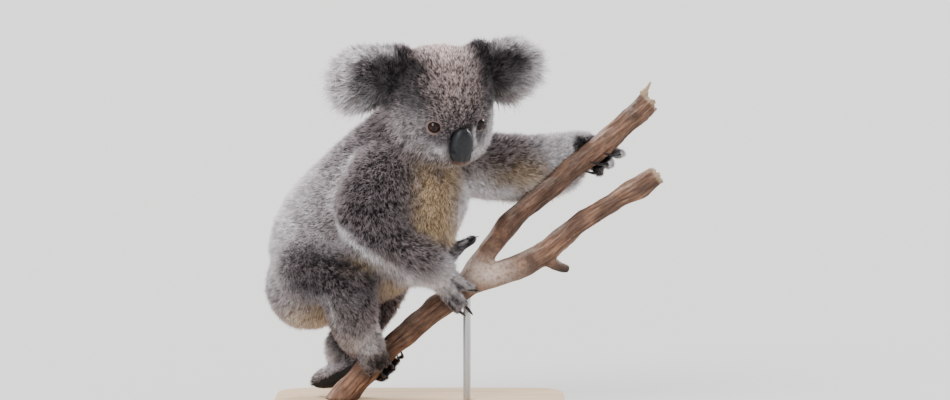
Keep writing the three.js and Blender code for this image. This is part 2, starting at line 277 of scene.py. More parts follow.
def new_material(name, **constants):
    """A material's tree and its surface shader, whose sockets hold the values that are the same all over."""
    material = bpy.data.materials.new(name)
    material.use_nodes = True
    tree = material.node_tree
    surface = next(n for n in tree.nodes if n.type == "BSDF_PRINCIPLED")
    for key, value in constants.items():
        surface.inputs[key.replace("_", " ").title().replace("Ior", "IOR")].default_value = value
    return material, tree, surface


def noise(tree, scale, detail=4.0, stretch=(1, 1, 1), turn=(0, 0, 0), roughness=0.55):
    """Noise on the object's own coordinates; scale is in features to a metre."""
    where = add(tree, "ShaderNodeTexCoord").outputs["Object"]
    turned = add(tree, "ShaderNodeMapping", {"Vector": where, "Scale": stretch, "Rotation": turn})
    return add(tree, "ShaderNodeTexNoise", {
        "Vector": turned, "Scale": scale, "Detail": detail, "Roughness": roughness}).outputs["Fac"]


def ramp(tree, value, stops, interpolation="LINEAR"):
    """Colours along a value; stops are (place, colour)."""
    made = add(tree, "ShaderNodeValToRGB", {"Fac": value})
    made.color_ramp.interpolation = interpolation
    elements = made.color_ramp.elements
    while len(elements) < len(stops):
        elements.new(0.5)
    for element, (place, colour) in zip(elements, stops):
        element.position = place
        element.color = (*colour, 1) if len(colour) == 3 else colour
    return made.outputs["Color"]


def blend(tree, factor, a, b, mode="MIX"):
    made = add(tree, "ShaderNodeMix", data_type="RGBA", blend_type=mode)
    for key, value in (("Factor", factor), ("A", a), ("B", b)):
        feed(tree, socket(made.inputs, key), value)
    return socket(made.outputs, "Result")


def attribute(tree, name):
    return add(tree, "ShaderNodeAttribute", attribute_name=name).outputs["Fac"]


def bump(tree, surface, height, depth, strength=1.0):
    """Bumps of that depth in millimetres."""
    made = add(tree, "ShaderNodeBump", {"Height": height, "Distance": depth * MM, "Strength": strength})
    tree.links.new(made.outputs["Normal"], surface.inputs["Normal"])


# ---------------------------------------------------------------- where a point is on the animal

def on_head(points):
    """Points of the head's frame in the row's frame, in millimetres."""
    return HEAD_AT + np.asarray(points, float) @ HEAD_TURN.T


def in_head(points):
    """Points of the row's frame in the head's frame."""
    return (points - HEAD_AT) @ HEAD_TURN


def mirrored(local):
    """Points of the head's frame brought over to the animal's left."""
    return np.stack([np.abs(local[:, 0]), local[:, 1], local[:, 2]], axis=1)


def stretches(line):
    """The two ends of each straight stretch of a line through given places."""
    ends = np.array(line, float)
    return list(zip(ends[:-1], ends[1:]))


def onto(points, a, b):
    """How far along from a to b the nearest place to each point lies, and that place."""
    share = np.clip((points - a) @ (b - a) / ((b - a) @ (b - a)), 0, 1)
    return share, a + share[:, None] * (b - a)


def along_line(points, line):
    """The distance from each point to a line through given places, and the line's direction there."""
    best = np.full(len(points), 1e9)
    way = np.zeros((len(points), 3))
    for a, b in stretches(line):
        _, spot = onto(points, a, b)
        away = np.linalg.norm(points - spot, axis=1)
        nearer = away < best
        best[nearer] = away[nearer]
        way[nearer] = unit(b - a)
    return best, way


def nearest_on_branch(points):
    """The nearest place on the branch's centre line to each point."""
    best = np.full(len(points), 1e9)
    place = np.zeros_like(points)
    for line in BRANCH.values():
        for a, b in stretches(line):
            _, spot = onto(points, a, b)
            away = np.linalg.norm(points - spot, axis=1)
            nearer = away < best
            best[nearer] = away[nearer]
            place[nearer] = spot[nearer]
    return place


def blob(points, middle, reach):
    """1 at a middle, falling away softly over its reach along X, Y and Z."""
    off = (points - np.array(middle, float)) / np.array(reach, float)
    return np.exp(-np.sum(off * off, axis=1) * 0.9)


def shares(points):
    """How far each point belongs to each stretch of the body, the shares adding up to 1."""
    sharp = 9    # how quickly one stretch gives way to the next
    reach = {}
    for name, (_, thick, line) in LINES.items():
        reach[name] = along_line(points, line)[0] / thick
    local = in_head(points)
    reach["head"] = np.linalg.norm(local / HEAD_REACH, axis=1)
    for name, side in EARS:
        off = (local - EAR_MIDDLE * (side, 1, 1)) / EAR_REACH
        reach[name] = np.linalg.norm(off, axis=1)
    weight = {name: np.maximum(r, 0.05) ** -sharp for name, r in reach.items()}
    total = sum(weight.values())
    return {name: w / total for name, w in weight.items()}


def share_of(weights, kinds):
    """How far each point belongs to the stretches with these kinds of coat."""
    return sum(w for name, w in weights.items() if KINDS[name] in kinds)


# ---------------------------------------------------------------- the skin

# How deep the coat lies over the skin, and how long its tufts are, in millimetres; the slope is the tufts'
# angle off the skin in degrees, and calm is how far the skin's lumps are smoothed away.
COAT = {
    "body": {"deep": 5, "long": 9, "slope": 40, "calm": 1.0},
    "upper_limb": {"deep": 4.5, "long": 8.5, "slope": 40, "calm": 0.9},
    "lower_limb": {"deep": 4, "long": 7.5, "slope": 38, "calm": 0.7},
    "paw": {"deep": 0.4, "long": 4.0, "slope": 20, "calm": 0.0},
    "head": {"deep": 3.2, "long": 6.2, "slope": 40, "calm": 0.5},
    "ear": {"deep": 1.0, "long": 10, "slope": 20, "calm": 0.1},
}
FACE_COAT = {"deep": 2.0, "long": 4.2}
MUZZLE_COAT = {"long": 2.8, "reach": (40, 44, 46)}    # it reaches this far from the tip of the nose
SKIN_VOXEL = 1.7    # how fine the skin's mesh is before it is thinned
SKIN_FACES = 165000
CREASE_DEPTH = 2.5
SOCKET = 5    # how far the flesh that the eye lies in reaches past it
# The lids, in millimetres and in degrees round the eyeball from the way it looks: how thick their edge is,
# where that edge lies, how much wider it is to the sides, how far the upper one droops, and their fold.
LID = {"thick": 1.1, "under": 1.4, "opening": 70, "wide": 4, "droop": 5, "fold": 17}


def blended(weights, key):
    """A coat value at each point, from the stretches it belongs to."""
    return sum(w * COAT[KINDS[name]][key] for name, w in weights.items())


def thin_ear(name, co):
    """An ear's flesh is far smaller than its fringe: it is drawn in towards its upper root."""
    if not name.startswith("ear"):
        return co
    side = -1 if name == "ear_right" else 1
    local = in_head(np.array(co)[None] / MM)[0]
    root = EAR_MIDDLE * (side, 1, 1) - (side * 34, 0, -40)
    smaller = (0.86, 0.66, 0.85)
    return Vector(on_head(root + (local - root) * smaller) * MM)


def eye_frames():
    """For each eye: its middle, the way it looks, and the ways to its side and up, in millimetres."""
    for side in (-1, 1):
        centre = on_head(np.array(EYE["at"]) * (side, 1, 1))
        gaze = HEAD_TURN @ unit(np.array(EYE["gaze"]) * (side, 1, 1))
        across = unit(np.cross(gaze, HEAD_TURN @ (0, 0, 1))) * -side
        yield centre, gaze, across, np.cross(across, gaze) * -side


def lidded(points):
    """Draws the skin round each eye into lids that hug the eyeball.

    It also gives how much each point is a lid, and how much it is bare of hair.
    """
    lid = np.zeros(len(points))
    bare = np.zeros(len(points))
    for centre, gaze, across, up in eye_frames():
        off = points - centre
        far = np.linalg.norm(off, axis=1)
        angle = np.degrees(np.arccos(np.clip(off @ gaze / np.maximum(far, 1e-6), -1, 1)))
        round_eye = np.arctan2(off @ up, off @ across)
        edge = LID["opening"] + LID["wide"] * np.cos(2 * round_eye)
        edge -= LID["droop"] * np.clip(np.sin(round_eye), 0, 1)
        past = angle - edge
        shell = EYE["radius"] - LID["under"] + (LID["thick"] + LID["under"]) * smooth_step(past, -3, 1.5)
        shell += 0.5 * np.exp(-((past - 5) / 4) ** 2)
        shell -= 0.7 * np.exp(-((past - LID["fold"]) / 5) ** 2)
        hold = smooth_step(past, 52, 22) * smooth_step(far, 17, 12)
        points = points + off / np.maximum(far, 1e-6)[:, None] * ((shell - far) * hold)[:, None]
        close = smooth_step(np.linalg.norm(points - centre, axis=1), EYE["radius"] + 4, EYE["radius"] + 2)
        lid = np.maximum(lid, smooth_step(past, 8, 5) * close)
        bare = np.maximum(bare, smooth_step(past, 8.5, 5) * close)
    return points, lid, bare


# The line of the mouth and the inner corner of an eye in the head's frame, and the gaps between the fingers
# and toes in the row's frame. Painted shade darkens all of them.
MOUTH = [(-30, -56, -40), (-15, -77, -49), (0, -84, -53), (15, -77, -49), (30, -56, -40)]
EYE_CORNER = (24.5, -69, -0.5)
GAPS = [
    [(36, -43, 184), (50, -33, 172), (60, -27, 164), (69, -24, 163)],
    [(31, -42, 172), (42, -33, 158), (52, -27, 148)],
    [(27, -36, 160), (37, -31, 150), (41, -26, 142)],
    [(-50, -52, 108), (-44, -45, 92), (-47, -38, 78), (-54, -34, 68)],
    [(-66, -50, 80), (-60, -40, 68)],
    [(-57, -50, 84), (-53, -38, 70)],
    [(233, 62, 352), (243, 60, 340), (240, 48, 328)],
    [(203, 40, 360), (214, 54, 346), (206, 44, 338)],
]


def gaps(points):
    """How deep in a gap between fingers or toes each point lies, from 0 to 1."""
    nearest = np.min([along_line(points, line)[0] for line in GAPS], axis=0)
    return np.exp(-(nearest / 3.2) ** 2)


def creases(points):
    """How deep in a gap, in the line of the mouth or in the inner corner of an eye each point lies."""
    local = in_head(points)
    mouth = np.exp(-(along_line(local, MOUTH)[0] / 2.4) ** 2)
    corner = blob(mirrored(local), EYE_CORNER, (3, 5, 2.4))
    return np.maximum(np.maximum(gaps(points), mouth), corner)


def sole(points, facing, weights):
    """Where the paws are bare leather: the undersides that hold the branch, and the far heel."""
    paws = share_of(weights, ("paw",))
    inward = unit(nearest_on_branch(points) - points)
    gripping = smooth_step(np.sum(inward * facing, axis=1), 0.2, 0.6)
    heel = blob(points, (-136, 36, 30), (28, 34, 15)) * smooth_step(-facing[:, 2], -0.15, 0.35)
    heel_tip = 1.3 * blob(points, (-147, 38, 44), (10, 30, 10))
    return np.clip((gripping + heel + heel_tip) * paws, 0, 1)


def thinned(made, faces):
    """Fewer faces where the skin is smooth, and all of them on the head and paws."""
    weights = shares(places(made.data))
    plain = 1 - np.clip(share_of(weights, ("head", "paw")), 0, 1)
    group = made.vertex_groups.new(name="plain")
    levels = 10
    for level in range(levels + 1):    # a group takes one weight at a time
        chosen = np.flatnonzero(np.round(plain * levels) == level)
        group.add(chosen.tolist(), level / levels, "REPLACE")
    made.data.calc_loop_triangles()
    ratio = min(1.0, faces / len(made.data.loop_triangles))
    modified(made, "DECIMATE", ratio=ratio, vertex_group="plain", vertex_group_factor=1.0)
    made.vertex_groups.clear()


def finer_round_eyes(mesh):
    """Splits the faces round the eyes twice, for the lids."""
    fine = bmesh.new()
    fine.from_mesh(mesh)
    for reach in (17, 14.5):
        near = set()
        for centre, *_ in eye_frames():
            middle = Vector(centre * MM)
            near.update(e for e in fine.edges if (e.verts[0].co - middle).length < reach * MM)
        bmesh.ops.subdivide_edges(fine, edges=list(near), cuts=1, use_grid_fill=True, smooth=0.3)
    bmesh.ops.triangulate(fine, faces=fine.faces)
    fine.to_mesh(mesh)
    fine.free()


def make_skin():
    """One skin for all the flesh, drawn in from the tips of the coat, with lids and the line of the mouth."""
    made = piece("skin", solids(FLESH, swell=0.7, reshape=thin_ear))
    balls = [(centre, EYE["radius"] + SOCKET) for centre, *_ in eye_frames()]
    balls += [(on_head(EAR_JOIN["at"] * (side, 1, 1)), EAR_JOIN["radius"]) for _, side in EARS]
    for centre, radius in balls:
        bpy.ops.mesh.primitive_uv_sphere_add(
            segments=24, ring_count=14, radius=radius * MM, location=centre * MM)
        take_in_new_shape(made)
    modified(made, "REMESH", mode="VOXEL", voxel_size=SKIN_VOXEL * MM)
    relax(made.data, 0.5 * blended(shares(places(made.data)), "calm"), 60)
    points = places(made.data)
    weights = shares(points)
    face = weights["head"] * smooth_step(in_head(points)[:, 1], -10, -50)
    deep = blended(weights, "deep") * (1 - face) + FACE_COAT["deep"] * face
    set_places(made.data, points - normals(made.data) * deep[:, None])
    modified(made, "REMESH", mode="VOXEL", voxel_size=SKIN_VOXEL * MM)
    relax(made.data, 0.5 * blended(shares(places(made.data)), "calm"), 12)
    relax(made.data, 0.25, 2)
    thinned(made, SKIN_FACES)
    finer_round_eyes(made.data)
    points, lid, bare = lidded(places(made.data))
    crease = creases(points)
    points -= normals(made.data) * (CREASE_DEPTH * crease)[:, None]
    points[:, 2] -= 8 * blob(points, (-138, 38, 44), (30, 40, 26))    # the far heel hangs lower
    set_places(made.data, points)
    note(made.data, "lid", lid)
    note(made.data, "bare", bare)
    note(made.data, "crease", crease)
    note(made.data, "sole", sole(points, normals(made.data), shares(points)))
    smooth_shaded(made.data)
    return made


# ---------------------------------------------------------------- markings

# Where the coat changes colour, and where light or shade is painted into it: the marking, the kinds of coat
# it shows on, its middle and how far it reaches along X, Y and Z in millimetres, and how strong it is. A
# strength below 0 takes the marking away.
BODY_SPOTS = [
    ("cream", "body", (26, -60, 268), (34, 70, 66), 1.5),                   # the bib
    ("cream", "body", (-10, -48, 196), (70, 70, 40), 1.2),                  # the belly
    ("pale", "body upper_limb", (74, -10, 286), (22, 70, 28), 1.4),         # the far armpit
    ("pale", "body", (64, -20, 250), (15, 80, 40), 1.4),                    # the edge of the bib
    ("pale", "body upper_limb", (-118, 8, 120), (50, 60, 22), 0.2),         # under the rump
    ("cream", "body upper_limb", (-128, -14, 124), (42, 60, 22), 1.4),      # where it turns cream
    ("dusk", "body upper_limb", (-147, -70, 168), (22, 50, 26), 0.6),       # the side of the buttock
    ("pale", "body", (-150, 20, 290), (84, 100, 70), 0.66),                 # the back
    ("pale", "body", (-172, 10, 224), (30, 80, 80), 0.8),                   # the rump
    ("pale", "body upper_limb", (-114, -86, 232), (34, 40, 14), 0.5),       # the flank
    ("cream", "upper_limb lower_limb", (-70, -112, 208), (22, 30, 11), 1.1),  # the belly by the elbow
    ("dusk", "upper_limb", (-58, -100, 270), (36, 60, 60), 0.45),           # the near upper arm
    ("dusk", "upper_limb", (-92, -90, 184), (46, 60, 40), 0.5),             # the near thigh
    ("dusk", "upper_limb body", (94, 26, 316), (40, 60, 30), 0.6),          # the far upper arm
    ("cream", "upper_limb lower_limb", (132, 16, 292), (90, 60, 29), 1.8),  # under the far arm
    ("pale", "upper_limb lower_limb", (140, 20, 288), (60, 60, 18), 0.5),   # the fringe there, brightened further by painted light in its shade
    ("pale", "lower_limb", (176, 36, 344), (38, 60, 24), 2.4),              # the far forearm
    ("pale", "lower_limb", (182, 46, 296), (40, 60, 14), 0.7),              # the fringe below it
    ("pale", "paw lower_limb", (40, -44, 176), (32, 44, 32), 1.1),          # the near hand
    ("dusk", "paw", (66, -10, 224), (26, 26, 16), 0.95),                    # its thumbs
    ("pale", "paw lower_limb", (-64, -52, 95), (16, 30, 22), 1.1),          # the near foot
    ("dusk", "paw", (-46, -42, 86), (8, 20, 20), 1.4),                      # painted shadow along its edge on the branch
    ("dusk", "lower_limb", (-92, -70, 142), (30, 40, 34), 0.35),            # the near shin
    ("dusk", "lower_limb", (-100, 20, 78), (16, 40, 20), 1.1),              # the front of the far shin
    ("pale", "lower_limb", (-130, 44, 76), (14, 50, 22), 1.0),              # the back of it
    ("pale", "paw lower_limb", (-130, 36, 62), (26, 40, 14), 0.9),          # above the far heel
    ("dusk", "paw", (-40, 4, 66), (34, 30, 26), 1.0),                       # the far toes
    ("dusk", "paw", (236, 44, 336), (26, 34, 30), 1.2),                     # the far hand
    ("dusk", "paw lower_limb", (211, 38, 348), (15, 40, 14), 2.6),          # its thumbs
    ("pale", "paw lower_limb", (211, 38, 347), (15, 40, 11), -2.4),         # which stay free of pale hairs
    ("pale", "paw lower_limb", (208, 50, 376), (30, 60, 11), 3.0),          # the wrist above them
    ("pale", "paw", (272, 48, 345), (11, 30, 14), 3.0),                     # the fringe of its fingers
    ("pale", "paw", (254, 44, 324), (12, 30, 8), 1.6),                      # and below them
]
# Narrow streaks, some of them painted rim light, highlight and shade: the marking, the kinds of coat each
# shows on, how wide and how strong it is, and its line.
STREAKS = [
    ("pale", "body upper_limb lower_limb", 5.5, 1.6,    # a painted rim light down the back edge of the near arm
     [(-80, -55, 346), (-106, -58, 308), (-113, -66, 278), (-107, -82, 260), (-84, -122, 241),
      (-53, -121, 215)]),
    ("pale", "upper_limb lower_limb", 7, 1.3,    # and along under its forearm
     [(-53, -121, 213), (-18, -87, 187), (14, -50, 170)]),
    ("dusk", "upper_limb", 6, 0.9,    # painted shade in the fold between the near thigh and the belly
     [(-141, -87, 217), (-110, -107, 210), (-78, -113, 203), (-57, -99, 180)]),
    ("pale", "upper_limb lower_limb", 4, 0.8,    # the back edge of the near shin
     [(-117, -100, 164), (-110, -88, 139), (-103, -75, 119)]),
    ("pale", "head", 2.4, 2.2,    # painted rim light beside the nose, along the far edge of the muzzle
     [(72, -107, 378), (73, -102, 364), (72, -97, 351), (70, -86, 340)]),
    ("pale", "head", 5, 0.65,    # painted rim light along the far cheek
     [(93, -72, 398), (93, -66, 381), (89, -69, 365), (83, -74, 352), (76, -71, 342)]),
    ("pale", "paw", 1.6, 0.9, [(52, -17, 222), (61, -8, 227)]),    # a painted highlight between the near hand's thumbs
]
# The spots of the head in the head's frame, on both sides of it, one of them painted shade.
HEAD_SPOTS = [
    ("warm", (0, -20, 62), (70, 90, 46), 1.0),         # the crown and forehead
    ("pale", (60, -38, -34), (28, 36, 38), 1.1),       # the cheeks
    ("pale", (0, -66, -66), (34, 30, 16), 0.8),        # the chin
    ("pale", (26, -80, -31), (12, 24, 12), 1.4),       # beside the nose
    ("dusk", (31, -71, -14), (16, 20, 11), 1.6),       # below the eyes
    ("dusk", (12, -80, 12), (14, 20, 16), 0.4),        # the bridge of the nose
    ("dusk", (30, -68, -46), (15, 20, 8), 1.2),        # painted shade in the corner of the mouth
    ("dusk", (72, 12, 40), (38, 80, 36), 2.6),         # the ear, by the crown
    ("pale", (150, 10, -24), (42, 70, 48), 2.3),       # its fringe
    ("cream", (96, -6, -2), (28, 30, 24), 0.7),        # its lower inside
]
MARKINGS = ("pale", "cream", "dusk", "warm")


def ear_rim(local):
    """How far out on its ear each point of the head's frame lies: 0 in the middle and 1 at the rim."""
    across = (np.abs(local[:, 0]) - EAR_RIM["at"][0]) / EAR_RIM["reach"][0]
    up = (local[:, 2] - EAR_RIM["at"][1]) / EAR_RIM["reach"][1]
    return np.hypot(across, up)


def markings(points, facing, weights):
    """How pale, cream, dusky and warm the coat is at each point, each from 0 to 1, painted light and shade
    included.
    """
    local = mirrored(in_head(points))
    ears = share_of(weights, ("ear",))
    head = weights["head"] + ears
    ragged = 1 + 0.22 * ripple(points, 11, 3) + 0.15 * ripple(points, 34, 4)    # no marking has a clean edge
    made = {name: np.zeros(len(points)) for name in MARKINGS}
    for name, kinds, middle, reach, strength in BODY_SPOTS:
        made[name] += strength * blob(points, middle, reach) * share_of(weights, kinds.split())
    for name, middle, reach, strength in HEAD_SPOTS:
        made[name] += strength * blob(local, middle, reach) * head
    for name, kinds, wide, strength, line in STREAKS:
        near = np.exp(-(along_line(points, line)[0] / wide) ** 2)
        made[name] += strength * near * share_of(weights, kinds.split())
    outer = ears * smooth_step(local[:, 0], 60, 84)
    made["pale"] += 1.1 * outer * smooth_step(ear_rim(local), 0.66, 1.0)
    # The limbs' undersides are paler: partly their paler fur, partly painted light that lifts their shade.
    under = smooth_step(-facing[:, 2], 0.35, 0.9)
    made["pale"] += 0.35 * under * share_of(weights, ("upper_limb", "lower_limb"))
    # Painted shade in the gaps between fingers and toes: the coat there turns dusky and loses its pale tips.
    gap = np.clip(1.5 * gaps(points), 0, 1)
    made["dusk"] += 3 * gap
    made["pale"] *= 1 - gap
    return {name: np.clip(value * ragged, 0, 1) for name, value in made.items()}


def lie_of_coat(points, facing, weights):
    """The way the hairs point at each place on the skin, as directions with their slope off it."""
    way = np.zeros_like(points)
    for name, (kind, _, line) in LINES.items():
        if kind == "paw":
            along = unit(points - np.array(line[0], float))
        else:
            along = along_line(points, line)[1]
        way += along * weights[name][:, None]
    local = in_head(points)
    back = unit(unit(local - NOSE_TIP) + np.array([0, 0.25, -0.1]))
    way += (back @ HEAD_TURN.T) * weights["head"][:, None]
    for name, side in EARS:
        out = unit((local - EAR_ROOT * (side, 1, 1)) * (1, 0.35, 1))
        way += (out @ HEAD_TURN.T) * weights[name][:, None]
    swirl = np.stack([ripple(points, 13, seed) for seed in (11, 12, 13)], axis=1)
    way = unit(way) + 0.16 * swirl + np.array([0, 0, -0.12])
    way = unit(way - facing * np.sum(way * facing, axis=1, keepdims=True))
    face = weights["head"] * smooth_step(local[:, 1], -20, -60)
    slope = np.radians(blended(weights, "slope") * (1 - 0.45 * face) + 4 * ripple(points, 9, 14))
    return way * np.cos(slope)[:, None] + facing * np.sin(slope)[:, None]


def tuft_length(points, weights):
    """The tufts' length at each place, in millimetres."""
    local = mirrored(in_head(points))
    length = blended(weights, "long")
    face = weights["head"] * smooth_step(local[:, 1], -25, -55)
    from_nose = np.linalg.norm((local - NOSE_TIP) / MUZZLE_COAT["reach"], axis=1)
    muzzle = weights["head"] * np.exp(-from_nose ** 4)
    length = length * (1 - face) + face * FACE_COAT["long"]
    length = length * (1 - muzzle) + muzzle * MUZZLE_COAT["long"]
    length += 4 * weights["head"] * blob(local, (58, -20, -50), (24, 34, 30))    # the ruff of the cheeks
    rim = smooth_step(ear_rim(local), 0.5, 0.95)
    lower = smooth_step(local[:, 2] - 0.3 * (local[:, 0] - 100), 78, 34)
    length += share_of(weights, ("ear",)) * (rim * (10 * lower + 3) + (1 - rim) * 4 * lower)
    elbow = blob(points, (-24, -66, 192), (50, 50, 18))
    far_arm = blob(points, (160, 44, 284), (80, 70, 18))
    length += 9 * np.clip(elbow + far_arm, 0, 1)    # the fringes that hang below the arms
    room = np.maximum(points[:, 1] - SOLID_BOX[0][1] / MM, 0)
    length = np.minimum(length, 5 + room)    # no hair stands out far in front of the solids
    return length * (1 + 0.1 * ripple(points, 12, 21))


# ---------------------------------------------------------------- the coat

# A short tuft is a straight three-sided spike, and a long one bows out from the skin and back to it. A ring
# is its place up the tuft and its half width.
TUFTS = {
    "short": {"bow": 0.0, "rings": [(0.0, 0.5)]},
    "long": {"bow": 1.1, "rings": [(0.0, 0.42), (0.42, 0.5)]},
}
# The pieces of the coat: what they cover, their kind of tuft, how many stand on a square centimetre, and how
# wide those are in millimetres.
COAT_PIECES = {
    "coat_face": (("head",), "short", 165, 0.62),
    "coat_crown": (("head",), "short", 130, 0.75),
    "coat_ears": (("ear_right", "ear_left"), "long", 58, 0.8),
    "coat_neck": (("neck",), "short", 100, 0.95),
    "coat_back": (("trunk",), "short", 100, 0.95),
    "coat_rump": (("trunk",), "short", 100, 0.95),
    "coat_front": (("trunk",), "short", 88, 0.95),
    "coat_arms": (("upper_arm_right", "upper_arm_left"), "short", 104, 0.92),
    "coat_forearms": (("forearm_right", "forearm_left"), "short", 110, 0.88),
    "coat_thighs": (("thigh_right", "thigh_left"), "short", 105, 0.92),
    "coat_shanks": (("shank_right", "shank_left"), "short", 110, 0.88),
    "coat_paws": ((*PAWS, "right_thumbs"), "short", 170, 0.6),
}
# Light and dark tufts stand in clumps: how many lie along a metre, on these pieces and on the others.
CLUMPS = {"coat_face": 420.0, "coat_crown": 370.0, "coat_ears": 190.0, "coat_paws": 340.0}
OTHER_CLUMPS = 310.0
DISORDER = 0.48    # how far a tuft strays from the lie of the coat
FIRST_SEED = 40
BAKE_PATCH = 0.003    # how wide the patch of one tuft is on the map for baking
# Where the coat's pieces part: the face from the crown, in the head's frame, the front of the trunk from its
# back, by the way the skin faces, and the back from the rump.
FACE_FROM_Y = -28
FRONT = {"away": (-0.75, 0.35, 0.5), "below": 0.1}
RUMP_TO_X = -96
UNDER_NOSE = {"at": (0, -83, -15), "reach": (18.5, 22, 27)}    # the skin that the nose covers, bare of hair


def tuft_shape(kind):
    """One tuft a unit long up Z, a lock of three sides that draws to a point."""
    bow = TUFTS[kind]["bow"]
    made = bmesh.new()
    rings = []
    for up, wide in TUFTS[kind]["rings"]:
        out = bow * 4 * (up - up * up)
        rings.append([
            made.verts.new((out + 0.6 * wide * math.cos(a), wide * math.sin(a), up))
            for a in (0, 2 * math.pi / 3, 4 * math.pi / 3)
        ])
    tip = made.verts.new((0, 0, 1))
    for k in range(3):
        after = (k + 1) % 3
        for low, high in zip(rings, rings[1:]):
            made.faces.new((low[k], low[after], high[after], high[k]))
        made.faces.new((rings[-1][k], rings[-1][after], tip))
    made.faces.new(rings[0][::-1])
    mesh = bpy.data.meshes.new("tuft")
    made.to_mesh(mesh)
    made.free()
    x, y, up = (places(mesh) * MM).T
    note(mesh, "tip", up)
    spread = (1 - 0.9 * up) * 0.5
    turn = np.arctan2(y, x - bow * 4 * (up - up * up))
    patch = np.stack([spread * np.cos(turn), spread * np.sin(turn), 0 * turn], axis=1)
    note(mesh, "patch", patch, "FLOAT_VECTOR")
    smooth_shaded(mesh)
    return piece("tuft_" + kind, mesh)


def coat_tree(material):
    """Geometry Nodes that stand tufts on one region of the skin, along the lie of the coat."""
    tree = bpy.data.node_groups.new("Coat", "GeometryNodeTree")
    for name, kind in {
        "Skin": "Geometry", "Tuft": "Object", "Region": "Int", "Tufts per m2": "Float", "Tuft width": "Float",
        "Clumps per m": "Float", "Disorder": "Float", "Seed": "Int",
    }.items():
        tree.interface.new_socket(name, in_out="INPUT", socket_type="NodeSocket" + kind)
    tree.interface.new_socket("Coat", in_out="OUTPUT", socket_type="NodeSocketGeometry")
    sizes = tree.nodes.new("NodeGroupInput").outputs

    def named(name, kind="FLOAT"):
        made = add(tree, "GeometryNodeInputNamedAttribute", {"Name": name}, data_type=kind)
        return made.outputs["Attribute"]

    def chance(low, high, seed, kind="FLOAT"):
        made = add(tree, "FunctionNodeRandomValue", {"Min": low, "Max": high, "Seed": seed}, data_type=kind)
        return socket(made.outputs)

    here = add(tree, "FunctionNodeCompare", {"A": named("region", "INT"), "B": sizes["Region"]},
               data_type="INT", operation="EQUAL")
    roots = add(tree, "GeometryNodeDistributePointsOnFaces", {
        "Mesh": sizes["Skin"], "Selection": here, "Distance Min": 0.35 * MM,
        "Density Max": sizes["Tufts per m2"], "Density Factor": named("thickness"), "Seed": sizes["Seed"],
    }, distribute_method="POISSON")
    clumps = add(tree, "ShaderNodeTexNoise", {
        "Scale": sizes["Clumps per m"], "Detail": 1.5, "Roughness": 0.6}).outputs["Fac"]
    clump = add(tree, "ShaderNodeMapRange", {"Value": clumps, "From Min": 0.40, "From Max": 0.60})
    shade = add(tree, "ShaderNodeMix", {"Factor": 0.3, "A": clump, "B": chance(0.0, 1.0, 4)})
    rooted = add(tree, "GeometryNodeStoreNamedAttribute", {
        "Geometry": roots.outputs["Points"], "Name": "shade", "Value": shade,
    }, data_type="FLOAT", domain="POINT")
    any_way = chance((-1, -1, -1), (1, 1, 1), 1, "FLOAT_VECTOR")
    stray = add(tree, "ShaderNodeVectorMath", {0: any_way, "Scale": sizes["Disorder"]}, operation="SCALE")
    way = add(tree, "ShaderNodeVectorMath", {0: named("lie", "FLOAT_VECTOR"), 1: stray}, operation="ADD")
    lying = add(tree, "FunctionNodeAlignRotationToVector", {"Vector": way}, axis="Z")
    upright = add(tree, "FunctionNodeAlignRotationToVector", {
        "Rotation": lying, "Vector": roots.outputs["Normal"]}, axis="X", pivot_axis="Z")
    width = math_node(tree, "MULTIPLY", sizes["Tuft width"], chance(0.75, 1.3, 2))
    light_longer = math_node(tree, "MULTIPLY_ADD", named("shade"), 0.4, 0.8)
    uneven = math_node(tree, "MULTIPLY", chance(0.75, 1.2, 3), light_longer)
    length = math_node(tree, "MULTIPLY", named("tuft_length"), uneven)
    size = add(tree, "ShaderNodeCombineXYZ", {"X": width, "Y": width, "Z": length})
    shape = add(tree, "GeometryNodeObjectInfo", {"Object": sizes["Tuft"]}).outputs["Geometry"]
    tufts = add(tree, "GeometryNodeInstanceOnPoints", {
        "Points": rooted, "Instance": shape, "Rotation": upright, "Scale": size})
    solid = add(tree, "GeometryNodeRealizeInstances", {"Geometry": tufts})
    patch = add(tree, "ShaderNodeVectorMath", {
        0: named("patch", "FLOAT_VECTOR"), 1: (BAKE_PATCH,) * 3, 2: named("unwrap", "FLOAT_VECTOR"),
    }, operation="MULTIPLY_ADD")
    mapped = add(tree, "GeometryNodeStoreNamedAttribute", {
        "Geometry": solid, "Name": "OFBake", "Value": patch}, data_type="FLOAT2", domain="CORNER")
    coated = add(tree, "GeometryNodeSetMaterial", {"Geometry": mapped, "Material": material})
    add(tree, "NodeGroupOutput", {"Coat": coated})
    return tree


def unwrapped(points, corners, weights):
    """A place on a flat map for each corner of the skin's faces: each stretch is rolled out by itself."""
    columns = 5
    margin = 0.04
    stretch_of = np.argmax(np.stack(list(weights.values())), axis=0)
    first = np.repeat(corners[:, 0], 4)
    vertex = corners.ravel()
    out = np.zeros((len(vertex), 3))
    for number in range(len(weights)):
        mine = stretch_of[first] == number
        if not mine.any():
            continue
        inside = points[stretch_of == number]
        middle = inside.mean(0)
        axes = np.linalg.svd(inside - middle, full_matrices=False)[2]
        local = (points[vertex[mine]] - middle) @ axes.T
        turn = np.arctan2(local[:, 2], local[:, 1]).reshape(-1, 4)
        turn = turn[:, :1] + (turn - turn[:, :1] + math.pi) % (2 * math.pi) - math.pi
        length = (inside - middle) @ axes[0]
        across = np.clip(turn.ravel() / (2 * math.pi) + 0.5, 0, 1)
        along = np.clip((local[:, 0] - length.min()) / (length.max() - length.min()), 0, 1)
        row, column = divmod(number, columns)
        out[mine, 0] = (column + margin + (1 - 2 * margin) * across) / columns
        out[mine, 1] = (row + margin + (1 - 2 * margin) * along) / columns
    return out


